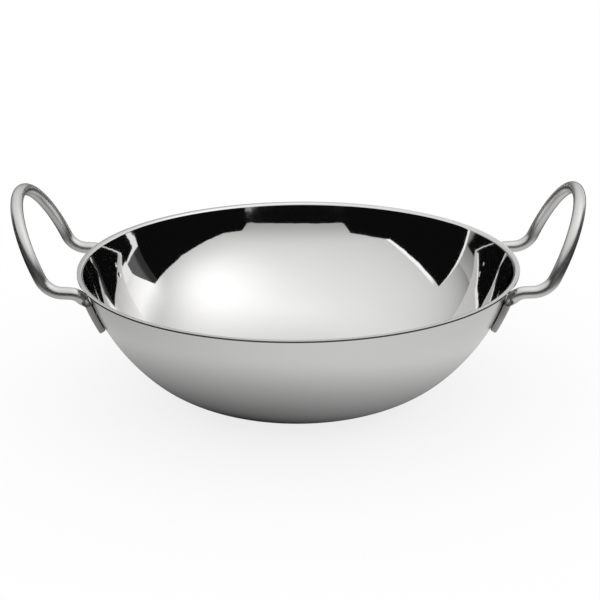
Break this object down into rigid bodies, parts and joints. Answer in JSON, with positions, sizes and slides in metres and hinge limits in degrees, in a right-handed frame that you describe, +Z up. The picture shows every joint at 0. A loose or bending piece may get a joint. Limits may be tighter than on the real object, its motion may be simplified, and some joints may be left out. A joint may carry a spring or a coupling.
{
  "type": "kadai",
  "caption": "Pressed steel kadai: a round dish with a narrow turned-out lip and small flat base, carried by bent rod loop handles spot-welded under the lip",
  "frame": {"origin": "middle of the dish's flat underside, on the surface that it stands on", "axes": "+X runs from the dish's axis out through the right handle, +Y away from the viewer, +Z up out of the dish's mouth"},
  "size_m": [0.2554, 0.2, 0.0954],
  "materials": {
    "dish_steel": "stainless sheet, mirror-polished inside and satin outside",
    "rod_steel": "stainless rod, tumble-polished to a soft shine",
    "weld_steel": "resolidified stainless steel, hidden in the joint"
  },
  "bodies": {
    "root": {"bowl": "dish_steel", "handle_left": "rod_steel", "handle_right": "rod_steel", "weld_nuggets_left": "weld_steel", "weld_nuggets_right": "weld_steel"}
  },
  "joints": []
}
